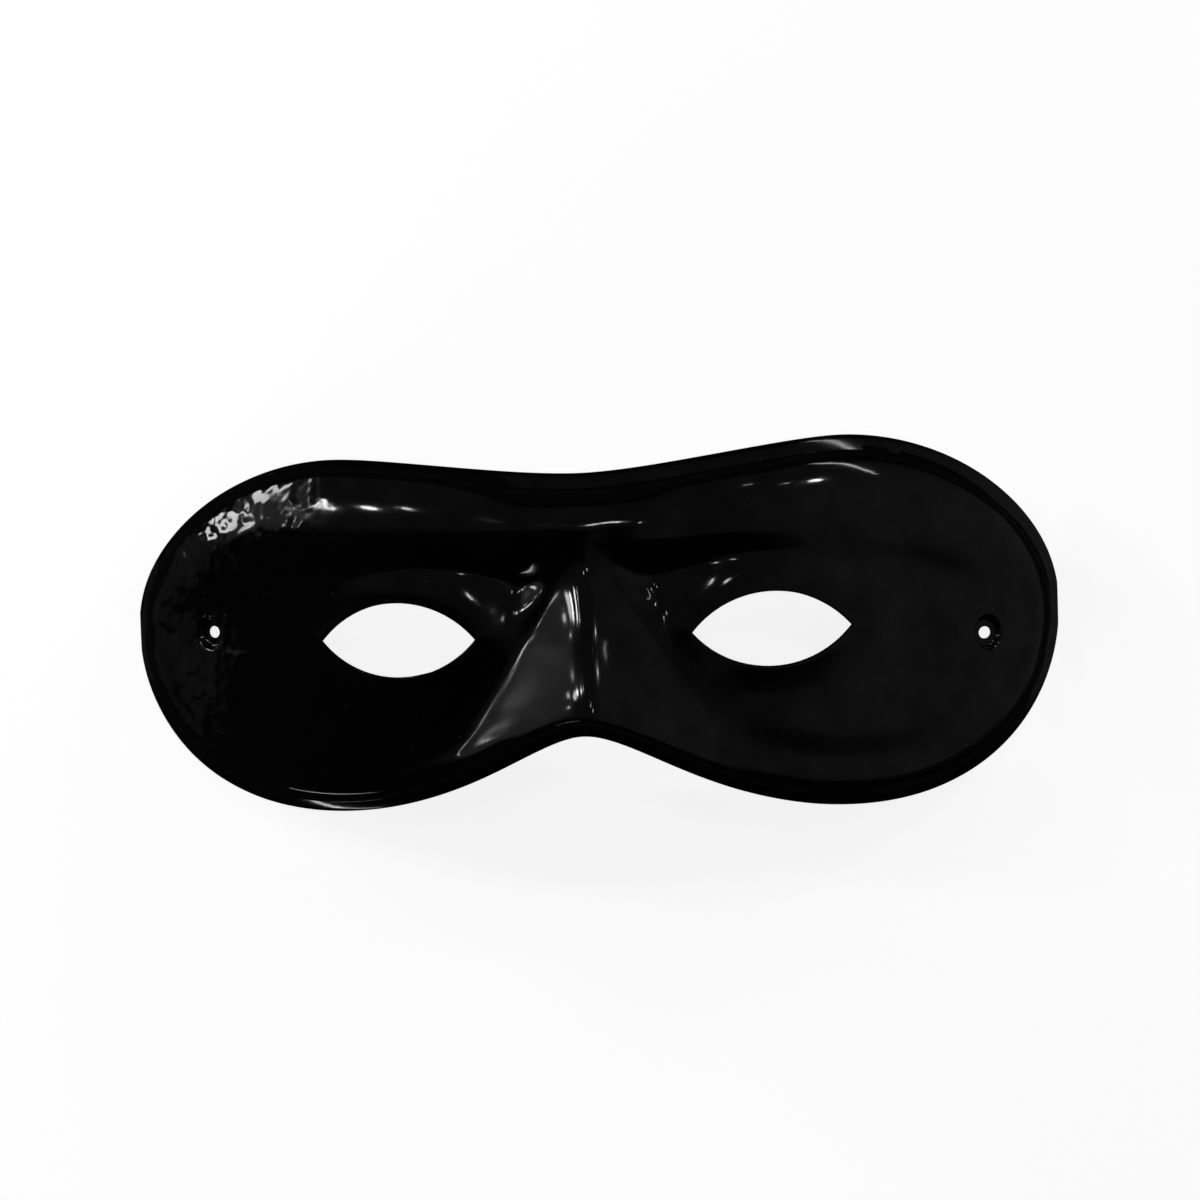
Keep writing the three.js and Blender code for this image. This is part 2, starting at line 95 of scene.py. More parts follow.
@dataclass
class MaskForm:
    """The moulded form in millimetres: X across the face, Y up it, Z out of it."""

    # Outline of a lobe: its level stretches, and how far the curve leaves each before it turns.
    half_width: float = 94.2
    end_y: float = -0.5
    top_notch_y: float = 28.1
    lobe_top_x: float = 50.3
    lobe_top_y: float = 33.2
    lobe_low_x: float = 51.6
    lobe_low_y: float = -37.6
    nose_notch_y: float = -22.1
    reach_top_notch: float = 14.3
    reach_top_inner: float = 10.9
    reach_top_outer: float = 22.2
    reach_side_up: float = 18.2
    reach_side_down: float = 21.1
    reach_low_outer: float = 25.8
    reach_low_inner: float = 27.1
    reach_nose_notch: float = 9.7
    trim_skew: float = 0.04
    curve_steps: int = 200
    # Sheet and its wrap round the head.
    sheet: float = 0.8
    wrap_radius: float = 130.0
    bend_radius: float = 260.0
    # Rim, which droops towards its edge, and most along the left lobe's brow.
    rim_low: float = 1.9
    rim_brow: float = 3.0
    rim_brow_left: float = 1.4
    left_from: float = 12.0
    left_full: float = 30.0
    rim_droop: float = 0.42
    droop_left: float = 0.8
    droop_round: float = 0.4
    droop_from: float = 8.0
    droop_full: float = 22.0
    # Steep wall, the crown that rounds over from it, and the ridge round each lobe.
    wall_low: float = 3.0
    wall_brow: float = 4.2
    wall_width: float = 2.0
    wall_width_notch: float = 3.2
    wall_foot: float = 0.15
    crown_low: float = 0.5
    crest_height: float = 0.35
    crest_in: float = 5.4
    crest_half_width: float = 1.8
    crown_brow: float = 2.7
    crown_notch: float = 1.3
    ridge_low: float = 5.2
    ridge_brow: float = 12.6
    ridge_notch: float = 1.8
    notch_from: float = 22.0
    notch_to: float = 10.0
    brow_from: float = -5.0
    brow_full: float = 20.0
    # Bowl round the eye: deepest under the inner brow. Below the eye it swells a little instead.
    brow_shelf: float = 2.0
    low_shelf: float = 3.5
    bowl_low: float = -0.5
    bowl_inner: float = 4.2
    bowl_outer: float = 0.6
    bowl_inner_x: float = 16.0
    bowl_outer_x: float = 50.0
    bowl_top_y: float = 10.0
    bowl_low_y: float = -12.0
    bowl_run_low: float = 7.0
    bowl_run_inner: float = 11.5
    bowl_run_outer: float = 15.0
    bowl_blend: float = 5.0
    bowl_nose_top: float = 1.6
    bowl_nose_low: float = 0.9
    bowl_nose_top_y: float = 9.0
    bowl_nose_low_y: float = 0.0
    # Eye opening, and the eyelid as a dome round it.
    eye_x: float = 36.2
    eye_y: float = -3.0
    eye_half_width: float = 15.4
    eye_half_height: float = 7.2
    eye_tilt: float = math.radians(0.6)
    eye_line_steps: int = 240
    lid_top_rise: float = 0.8
    lid_low_rise: float = 1.8
    lid_top_slope: float = 0.1
    lid_top_bend: float = 0.03
    lid_low_slope: float = 0.28
    lid_low_bend: float = 0.01
    lid_turn: float = 0.8
    lid_outer_ease: float = 0.3
    lid_turn_from: float = math.radians(-25.0)
    valley_round: float = 1.4
    # Nose and the bridge's dip.
    nose_height: float = 5.0
    nose_from: float = 14.0
    nose_full: float = -16.0
    nose_radius: float = 2.5
    foot_round: float = 0.12
    nose_lean_top: float = 0.5
    nose_lean_low: float = 1.6
    lean_half_width: float = 25.0
    flank_top: float = 5.0
    flank_top_y: float = 7.0
    flank_spread: float = 0.64
    flank_round: float = 3.0
    rise_height: float = 8.5
    rise_from: float = 20.0
    rise_full: float = -22.0
    rise_power: float = 1.4
    dip_depth: float = 1.2
    dip_y: float = 11.0
    dip_half_height: float = 6.0
    dip_half_width: float = 12.0
    # Strap seats with their holes, and the two trimmed stretches that the mask lies on.
    strap_x_left: float = -75.9
    strap_y_left: float = -1.0
    strap_x_right: float = 78.5
    strap_y_right: float = -6.0
    hole_radius: float = 1.2
    seat_floor_radius: float = 2.6
    seat_radius: float = 3.7
    seat_depth: float = 1.1
    foot_trim: float = 0.9
    slope_step: float = 0.05

    def half_outline(self, side: Side, steps: int) -> np.ndarray:
        """Traces one lobe's edge from the top notch to the nose notch.

        Args:
            side: Which lobe.
            steps: How many even steps the line has.

        Returns:
            The line's points, one row each.
        """
        top, lobe_top = (0.0, self.top_notch_y), (self.lobe_top_x, self.lobe_top_y)
        end, lobe_low = (self.half_width, self.end_y), (self.lobe_low_x, self.lobe_low_y)
        notch = (0.0, self.nose_notch_y)

        stretches = [
            (top, (self.reach_top_notch, 0.0), (-self.reach_top_inner, 0.0), lobe_top),
            (lobe_top, (self.reach_top_outer, 0.0), (0.0, self.reach_side_up), end),
            (end, (0.0, -self.reach_side_down), (self.reach_low_outer, 0.0), lobe_low),
            (lobe_low, (-self.reach_low_inner, 0.0), (self.reach_nose_notch, 0.0), notch),
        ]
        t = np.linspace(0.0, 1.0, self.curve_steps)[:, None]
        parts = []
        for start, leaving, arriving, stop in stretches:
            a, d = np.array(start), np.array(stop)
            b, c = a + leaving, d + arriving
            curve = (1 - t) ** 3 * a + 3 * (1 - t) ** 2 * t * b + 3 * (1 - t) * t**2 * c + t**3 * d
            parts.append(curve[:-1])
        points = np.vstack([*parts, [notch]])
        run = np.concatenate([[0.0], np.cumsum(np.hypot(*np.diff(points, axis=0).T))])
        even = np.linspace(0.0, run[-1], steps + 1)
        x, y = np.interp(even, run, points[:, 0]), np.interp(even, run, points[:, 1])
        skewed = y * (1 + self.trim_skew * side.value * x / self.half_width)
        return np.column_stack([side.value * x, skewed])

    def outline(self, steps: int = 120) -> np.ndarray:
        """Traces the whole edge as one closed line."""
        right, left = self.half_outline(Side.RIGHT, steps), self.half_outline(Side.LEFT, steps)
        return np.vstack([right, left[::-1][1:-1]])

    def eye_radius(self, angle: np.ndarray) -> np.ndarray:
        """Gives the radius of the eye opening, two equal arcs that meet in corners.

        Args:
            angle: Angles from its long axis.

        Returns:
            The distance from its middle to its edge at each angle.
        """
        half_width, half_height = self.eye_half_width, self.eye_half_height
        arc = (half_width**2 + half_height**2) / (2 * half_height)
        sunk = arc - half_height
        return np.sqrt(arc**2 - (sunk * np.cos(angle)) ** 2) - sunk * np.abs(np.sin(angle))

    def eye_points(self, angle: np.ndarray) -> np.ndarray:
        """Gives points of the right eye opening's edge at angles from its long axis."""
        r, turned = self.eye_radius(angle), angle + self.eye_tilt
        return np.column_stack([self.eye_x + r * np.cos(turned), self.eye_y + r * np.sin(turned)])

    def lid(self, a: np.ndarray, y: np.ndarray) -> np.ndarray:
        """Gives the eyelid dome's height over the ridge's level.

        Args:
            a: Distances from the nose's ridge across the face.
            y: Places up the face.

        Returns:
            The heights: highest at the opening, falling gently above it and steeply below it.
        """
        dx, dy = a - self.eye_x, y - self.eye_y
        angle = np.arctan2(dy, dx) - self.eye_tilt
        line = self.eye_points(np.linspace(0.0, 2 * np.pi, self.eye_line_steps, endpoint=False))
        out = np.where(np.hypot(dx, dy) > self.eye_radius(angle), distance_to(line, a, y), 0.0)
        top = smooth(0.5 + self.lid_turn * np.sin(angle + self.lid_turn_from))
        slope = mix(self.lid_low_slope, self.lid_top_slope, top)
        bend = mix(self.lid_low_bend, self.lid_top_bend, top)
        eased = 1.0 - self.lid_outer_ease * top * smooth(np.cos(angle))
        rise = mix(self.lid_low_rise, self.lid_top_rise, top)
        return rise - out * (slope + bend * out) * eased

    def flank(self, y: np.ndarray) -> np.ndarray:
        """Gives how far from the middle the nose's flank ends at a height."""
        down = self.flank_top_y - y
        return self.flank_top + self.flank_spread * (down + np.hypot(down, self.flank_round)) / 2

    def nose(self, a: np.ndarray, y: np.ndarray) -> np.ndarray:
        """Gives the share of the nose's height across it.

        Args:
            a: Distances from the nose's ridge across the face.
            y: Places up the face.

        Returns:
            The shares: 1 on the ridge, and next to nothing past the nose's foot.
        """
        r = self.nose_radius
        off = (np.hypot(a, r) - r) / (np.hypot(self.flank(y), r) - r)
        return (1 - off + np.hypot(1 - off, self.foot_round)) / 2

    def brow(self, y: np.ndarray) -> np.ndarray:
        """Tells how much of the brow a height has."""
        return smooth((y - self.brow_from) / (self.brow_full - self.brow_from))

    def left_share(self, x: np.ndarray) -> np.ndarray:
        """Tells how far a place is into the left lobe."""
        return smooth((-x - self.left_from) / (self.left_full - self.left_from))

    def rim(self, x: np.ndarray, y: np.ndarray) -> np.ndarray:
        """Gives how wide the flat rim is."""
        return mix(self.rim_low, mix(self.rim_brow, self.rim_brow_left, self.left_share(x)), self.brow(y))

    def notch(self, a: np.ndarray) -> np.ndarray:
        """Tells how near to the middle a place is, where the outline has its notches."""
        return smooth((self.notch_from - a) / (self.notch_from - self.notch_to))

    def wall(self, a: np.ndarray, y: np.ndarray) -> np.ndarray:
        """Gives how wide the wall is."""
        return mix(self.wall_width, self.wall_width_notch, self.notch(a) * self.brow(y))

    def ridge(self, a: np.ndarray, y: np.ndarray) -> np.ndarray:
        """Gives how far in from the edge the ridge stands."""
        more = self.ridge_notch * self.notch(a) * (y < 0)
        return mix(self.ridge_low, self.ridge_brow, self.brow(y)) + more

    def seats(self) -> list[tuple[float, float]]:
        """Gives the middles of the strap seats."""
        return [(self.strap_x_right, self.strap_y_right), (self.strap_x_left, self.strap_y_left)]

    def blend(self, one: np.ndarray, other: np.ndarray) -> np.ndarray:
        """Takes the smaller of two distances, rounded where they meet."""
        share = np.clip(0.5 + 0.5 * (other - one) / self.bowl_blend, 0.0, 1.0)
        return mix(other, one, share) - self.bowl_blend * share * (1 - share)

    def socket(self, a: np.ndarray, y: np.ndarray, edge: np.ndarray) -> np.ndarray:
        """Gives how far the bowl round the eye sinks the surface.

        Args:
            a: Distances from the nose's ridge across the face.
            y: Places up the face.
            edge: The places' distances from the outline.

        Returns:
            The depths. Below the eye they are negative, because the surface swells there.
        """
        from_ridge = edge - self.ridge(a, y) - mix(self.low_shelf, self.brow_shelf, self.brow(y))
        from_nose = (a - self.flank(y)) / math.hypot(1.0, self.flank_spread)
        inner = smooth((self.bowl_outer_x - a) / (self.bowl_outer_x - self.bowl_inner_x))
        upper = smooth((y - self.bowl_low_y) / (self.bowl_top_y - self.bowl_low_y))
        bridge = smooth((y - self.bowl_nose_low_y) / (self.bowl_nose_top_y - self.bowl_nose_low_y))
        inside = self.blend(from_ridge, from_nose * mix(self.bowl_nose_low, self.bowl_nose_top, bridge))
        run = mix(self.bowl_run_low, mix(self.bowl_run_outer, self.bowl_run_inner, inner), self.brow(y))
        under_brow = mix(self.bowl_outer, self.bowl_inner, inner)
        return mix(self.bowl_low, under_brow, upper) * smooth(inside / run)

    def height(self, x: np.ndarray, y: np.ndarray) -> np.ndarray:
        """Gives the outer surface's height over the top of the wrap.

        Args:
            x: Places across the face.
            y: Places up the face.

        Returns:
            The heights.
        """
        nose_share = smooth((self.nose_from - y) / (self.nose_from - self.nose_full))
        lean = mix(self.nose_lean_top, self.nose_lean_low, nose_share)
        centre = np.exp(-((x / self.lean_half_width) ** 2))
        a = np.abs(x - lean * centre)
        edge = distance_to(self.outline(), x, y)
        brow, notch = self.brow(y), self.notch(a)
        wrap = np.sqrt(self.wrap_radius**2 - x * x) - self.wrap_radius - y * y / (2 * self.bend_radius)
        # The wall rises steeply from the rim, and the crown rounds over from it.
        rim, width = self.rim(x, y), self.wall(a, y)
        past = np.maximum(edge - rim, 0.0)
        risen_in = np.clip(past**2 / (past + self.wall_foot) / width, 0.0, 1.0)
        up = np.sqrt(1 - (1 - risen_in) ** 2)
        over = np.clip((edge - rim) / (self.ridge(a, y) - rim), 0.0, 1.0)
        crown = mix(self.crown_low, self.crown_brow + self.crown_notch * notch, brow)
        wall = mix(self.wall_low, self.wall_brow, brow) * up + crown * (1 - (1 - over) ** 2)
        near_crest = np.exp(-(((edge - self.crest_in) / self.crest_half_width) ** 2))
        crest = self.crest_height * (1 - brow) * (1 - notch) * near_crest
        # Outside the wall the rim droops.
        drooping = smooth((np.abs(y) - self.droop_from) / (self.droop_full - self.droop_from))
        droop = mix(self.rim_droop, self.droop_left, self.left_share(x) * brow) * drooping
        outside = (rim - edge + np.hypot(rim - edge, self.droop_round)) / 2
        # The nose stands on a slow rise, and the bridge dips.
        rise_share = np.clip((self.rise_from - y) / (self.rise_from - self.rise_full), 0.0, 1.0)
        risen = self.rise_height * rise_share**self.rise_power
        raised = risen + self.nose_height * nose_share * up
        dip = np.exp(-(((y - self.dip_y) / self.dip_half_height) ** 2) - (a / self.dip_half_width) ** 2)
        nose = raised * self.nose(a, y) - self.dip_depth * dip * up
        # The bowl and the eyelid meet in a rounded valley.
        bowl, lid = -self.socket(a, y, edge), self.lid(a, y)
        inside = (bowl + lid + np.hypot(bowl - lid, self.valley_round)) / 2
        return wrap + nose + wall + crest * up + inside - droop * outside

    def normal(self, x: np.ndarray, y: np.ndarray) -> np.ndarray:
        """Gives the outer surface's unit normals.

        Args:
            x: Places across the face.
            y: Places up the face.

        Returns:
            The normals, one row each.
        """
        h = self.slope_step
        slope_x = (self.height(x + h, y) - self.height(x - h, y)) / (2 * h)
        slope_y = (self.height(x, y + h) - self.height(x, y - h)) / (2 * h)
        n = np.column_stack([-slope_x, -slope_y, np.ones_like(x)])
        return n / np.linalg.norm(n, axis=1)[:, None]

    def surface(self, xy: np.ndarray) -> tuple[np.ndarray, np.ndarray]:
        """Gives the outer surface's points over places on the face, and its unit normals there."""
        x, y = xy[:, 0], xy[:, 1]
        return np.column_stack([xy, self.height(x, y)]), self.normal(x, y)

    def shift(self) -> np.ndarray:
        """Gives the move that centres the mask on its resting plane.

        Returns:
            The move from the form's own frame to the part's.
        """
        edge = self.outline()
        end, n = self.surface(np.array([[self.half_width, self.end_y]]))
        lowest = end[0, 2] - self.sheet * n[0, 2]
        return np.array([0.0, -(edge[:, 1].min() + edge[:, 1].max()) / 2, -lowest - self.foot_trim])


@dataclass
class SheetMesh:
    """The sheet's points and faces while it is put together patch by patch."""

    points: list[np.ndarray] = field(default_factory=list)
    inner: list[np.ndarray] = field(default_factory=list)
    quads: list[np.ndarray] = field(default_factory=list)
    count: int = 0

    def add(self, block: np.ndarray, inner: bool) -> np.ndarray:
        """Adds points.

        Args:
            block: The points, one row each.
            inner: Whether they lie on the sheet's inner face.

        Returns:
            The points' numbers in the mesh.
        """
        numbers = self.count + np.arange(len(block))
        self.points.append(block)
        self.inner.append(np.full(len(block), float(inner)))
        self.count += len(block)
        return numbers

    def join(self, rows: np.ndarray, turn: int) -> None:
        """Joins a grid of points with four-sided faces."""
        corners = np.stack([rows[:-1, :-1], rows[1:, :-1], rows[1:, 1:], rows[:-1, 1:]], axis=-1)
        self.quads.append(corners.reshape(-1, 4)[:, ::turn])

    def build(self, name: str, shift: np.ndarray) -> bpy.types.Object:
        """Makes the object.

        Args:
            name: Its name.
            shift: The move from the form's own frame to the part's, in millimetres.

        Returns:
            The object, whose inner_face attribute is 1 on the inner face and 0 elsewhere.
        """
        placed = np.vstack(self.points) + shift
        mesh = bpy.data.meshes.new(name)
        mesh.from_pydata(placed * MM, [], np.vstack(self.quads).tolist())
        inner_face = mesh.attributes.new("inner_face", "FLOAT", "POINT")
        inner_face.data.foreach_set("value", np.concatenate(self.inner))
        return bpy.data.objects.new(name, mesh)


@dataclass
class MaskShell:
    """The mask as one closed shell of sheet, with rounded cut edges and pierced strap seats."""

    form: MaskForm = field(default_factory=MaskForm)
    outline_steps: int = 262
    centre_steps: int = 52
    rim_rows: int = 3
    wall_rows: int = 14
    crown_rows: int = 10
    eye_rows: int = 44
    edge_round: float = 0.12
    edge_steps: int = 3
    # Grid points this far from a seat's middle are drawn in to the distances below.
    gather_from: tuple[float, ...] = (0.0, 2.2, 8.4, 13.0)
    gather_to: tuple[float, ...] = (0.0, 2.0, 4.3, 13.0)
    hole_sides: int = 40
    drill_length: float = 8.0
    weld_distance: float = 0.002
    sharp_angle: float = math.radians(50.0)

    def gathered(self, xy: np.ndarray) -> np.ndarray:
        """Draws grid points towards the sides of the strap seats, which need finer faces.

        Args:
            xy: The grid's points, one row each.

        Returns:
            The points, moved.
        """
        out = xy.copy()
        for seat in self.form.seats():
            n = self.form.normal(np.array([seat[0]]), np.array([seat[1]]))[0]
            stretch = np.array([1 / n[2], 1.0])
            away = (xy - seat) * stretch
            r = np.hypot(*away.T)
            reach = self.gather_from[-1]
            near = (r > 0.0) & (r < reach)
            pulled = np.interp(r, self.gather_from, self.gather_to)
            out[near] = seat + away[near] * (pulled[near] / r[near])[:, None] / stretch
        return out

    def side_grid(self, side: Side) -> tuple[np.ndarray, np.ndarray, np.ndarray, np.ndarray]:
        """Lays a flat grid over one side.

        Args:
            side: Which side of the mask.

        Returns:
            The rows along the rim, the directions from its edge into the sheet, the rows
            round the eye, and the directions from the opening's edge into the sheet.
        """
        form = self.form
        edge = form.half_outline(side, self.outline_steps)
        along = np.roll(edge, -1, axis=0) - np.roll(edge, 1, axis=0)
        along /= np.linalg.norm(along, axis=1)[:, None]
        inward = np.column_stack([along[:, 1], -along[:, 0]]) * side.value
        # At the middle the rows run straight up and down, so that both sides meet.
        inward[0], inward[-1] = (0.0, -1.0), (0.0, 1.0)
        # Rows along the outline, from its edge over rim and wall to the ridge.
        a = np.abs(edge[:, 0])
        ridge, rim = form.ridge(a, edge[:, 1]), form.rim(edge[:, 0], edge[:, 1])
        flat = [mix(self.edge_round, rim, i / self.rim_rows) for i in range(self.rim_rows)]
        foot = rim + form.wall(a, edge[:, 1]) + form.wall_foot
        steep = [mix(rim, foot, (i / self.wall_rows) ** 2) for i in range(self.wall_rows)]
        crown = [mix(foot, ridge, i / self.crown_rows) for i in range(self.crown_rows + 1)]
        rows = np.array([edge + inward * depth[:, None] for depth in flat + steep + crown])
        # Rows round the eye, from the ridge and the middle line to the opening.
        last = rows[-1]
        t = (np.arange(1, self.centre_steps) / self.centre_steps)[:, None]
        loop = np.vstack([last, last[-1] + (last[0] - last[-1]) * t])
        angles = np.arctan2(loop[:, 1] - form.eye_y, side.value * loop[:, 0] - form.eye_x) - form.eye_tilt
        # One line of the grid ends in each corner of the opening.
        for corner in (0.0, math.pi):
            angles[np.argmax(np.cos(angles - corner))] = corner
        opening = form.eye_points(angles) * [side.value, 1.0]
        outward = loop - opening
        outward /= np.linalg.norm(outward, axis=1)[:, None]
        opening = opening + outward * self.edge_round
        shares = np.arange(self.eye_rows + 1) / self.eye_rows
        eye = np.array([loop + (opening - loop) * share for share in shares])
        return self.gathered_rows(rows), inward, self.gathered_rows(eye), outward

    def gathered_rows(self, rows: np.ndarray) -> np.ndarray:
        """Gathers a whole grid's points."""
        return self.gathered(rows.reshape(-1, 2)).reshape(rows.shape)

    def faces_of(self, xy: np.ndarray) -> tuple[np.ndarray, np.ndarray, np.ndarray]:
        """Gives both faces of the sheet, with the strap seats sunk in them.

        Args:
            xy: Places on the face, one row each.

        Returns:
            The outer face's points over them, the inner face's points and the unit normals.
        """
        form = self.form
        outer, n = form.surface(xy)
        drop = np.zeros(len(xy))
        for seat in form.seats():
            middle = form.surface(np.array([seat]))[0]
            r = np.linalg.norm(outer - middle, axis=1)
            side = (r - form.seat_floor_radius) / (form.seat_radius - form.seat_floor_radius)
            drop += form.seat_depth * (1 - smooth(side))
        outer = outer - n * drop[:, None]
        return outer, outer - n * form.sheet, n

    def edge_rows(self, outer: np.ndarray, n: np.ndarray, into: np.ndarray) -> list[np.ndarray]:
        """Rounds a cut edge.

        Args:
            outer: The outer surface's points next to the edge.
            n: The normals there.
            into: Directions in the plane of the face, from the edge into the sheet.

        Returns:
            Rows of points from the outer surface round the edge to the inner one.
        """
        slope = -(n[:, :2] * into).sum(axis=1) / n[:, 2]
        inward = np.column_stack([into, slope])
        inward /= np.linalg.norm(inward, axis=1)[:, None]
        r = self.edge_round
        turns = np.radians(90.0) * np.arange(1, self.edge_steps + 1) / self.edge_steps
        rows = [(r * math.sin(a), r * (1 - math.cos(a))) for a in turns]
        rows += [(out, self.form.sheet - depth) for out, depth in reversed(rows)]
        return [outer - inward * out - n * depth for out, depth in rows]

    def sheet(self, name: str) -> bpy.types.Object:
        """Makes the closed sheet, untrimmed and unpierced.

        Args:
            name: The object's name.

        Returns:
            The object.
        """
        mesh = SheetMesh()
        for side in Side:
            rim, inward, eye, outward = self.side_grid(side)
            # The rim's first row is the outline. The eye's rows are closed, and the last is the opening.
            for grid, into, at, closed, way in ((rim, inward, 0, False, -1), (eye, outward, -1, True, 1)):
                shape = grid.shape[:2]
                outer, inner, n = self.faces_of(grid.reshape(-1, 2))
                top = mesh.add(outer, inner=False).reshape(shape)
                under = mesh.add(inner, inner=True).reshape(shape)
                n_edge = n.reshape(*shape, 3)[at]
                edge = self.edge_rows(outer.reshape(*shape, 3)[at], n_edge, into)
                ring = [top[at]] + [mesh.add(row, inner=False) for row in edge] + [under[at]]
                blocks = [(top, side.value), (under, -side.value), (np.array(ring), side.value * way)]
                for rows, turn in blocks:
                    mesh.join(np.column_stack([rows, rows[:, 0]]) if closed else rows, turn)
        return mesh.build(name, self.form.shift())

    def trim(self, mesh: bpy.types.Mesh) -> None:
        """Joins the two sides and trims what reaches under the resting plane flat.

        Args:
            mesh: The sheet's mesh.
        """
        work = bmesh.new()
        work.from_mesh(mesh)
        bmesh.ops.remove_doubles(work, verts=work.verts, dist=self.weld_distance * MM)
        everything = [*work.verts, *work.edges, *work.faces]
        resting = {"plane_co": (0, 0, 0), "plane_no": (0, 0, 1)}
        cut = bmesh.ops.bisect_plane(work, geom=everything, clear_inner=True, **resting)
        edges = [item for item in cut["geom_cut"] if isinstance(item, bmesh.types.BMEdge)]
        bmesh.ops.holes_fill(work, edges=edges)
        bmesh.ops.recalc_face_normals(work, faces=work.faces)
        work.to_mesh(mesh)
        work.free()

    def drill(self, mask: bpy.types.Object) -> None:
        """Pierces the hole in each strap seat.

        Args:
            mask: The sheet, linked to the scene.
        """
        for number, seat in enumerate(self.form.seats()):
            middle, n = self.form.surface(np.array([seat]))
            floor = middle[0] - n[0] * self.form.seat_depth + self.form.shift()
            work = bmesh.new()
            radius = self.form.hole_radius * MM
            bmesh.ops.create_cone(
                work,
                cap_ends=True,
                segments=self.hole_sides,
                radius1=radius,
                radius2=radius,
                depth=self.drill_length * MM,
                matrix=Matrix.Translation(Vector(floor) * MM),
            )
            tool = bpy.data.objects.new(f"drill_{number}", bpy.data.meshes.new(f"drill_{number}"))
            work.to_mesh(tool.data)
            work.free()
            bpy.context.collection.objects.link(tool)
            cut = mask.modifiers.new(f"hole_{number}", "BOOLEAN")
            cut.operation, cut.solver, cut.object = "DIFFERENCE", "EXACT", tool
            settle(mask)
            bpy.data.objects.remove(tool)

    def build(self, name: str, finish: bpy.types.Material) -> bpy.types.Object:
        """Makes the finished shell.

        Args:
            name: The piece's name.
            finish: What it is made of.

        Returns:
            The piece, a plain closed mesh.
        """
        mask = self.sheet(name)
        bpy.context.collection.objects.link(mask)
        self.trim(mask.data)
        mask.data.materials.append(finish)
        MouldRipple().apply(mask, finish)
        self.drill(mask)
        mask.data.shade_smooth()
        mask.data.set_sharp_from_angle(angle=self.sharp_angle)
        return mask


def settle(obj: bpy.types.Object) -> None:
    """Turns an object's modifiers into its plain mesh.

    Args:
        obj: The object.
    """
    graph = bpy.context.evaluated_depsgraph_get()
    whole = obj.evaluated_get(graph)
    mesh = bpy.data.meshes.new_from_object(whole, preserve_all_data_layers=True, depsgraph=graph)
    mesh.name = obj.data.name
    obj.modifiers.clear()
    obj.data = mesh


def wire(tree: bpy.types.NodeTree, node: bpy.types.Node, inputs: dict) -> None:
    """Gives a node its inputs.

    Args:
        tree: The tree that the node is in.
        node: The node.
        inputs: What each of its sockets gets: a value, an output to link, or another node,
            which stands for the first of its outputs that is in use.
    """
    for key, value in inputs.items():
        if isinstance(value, bpy.types.Node):
            value = next(output for output in value.outputs if output.enabled)
        if isinstance(value, bpy.types.NodeSocket):
            tree.links.new(value, node.inputs[key])
        else:
            node.inputs[key].default_value = value


def add_node(
    tree: bpy.types.NodeTree, kind: str, inputs: dict | None = None, **settings: object
) -> bpy.types.Node:
    """Adds a node to a tree.

    Args:
        tree: The tree.
        kind: The node's type name.
        inputs: Its inputs, as wire takes them.
        settings: The node's own settings.

    Returns:
        The new node.
    """
    node = tree.nodes.new(kind)
    for key, value in settings.items():
        setattr(node, key, value)
    wire(tree, node, inputs or {})
    return node


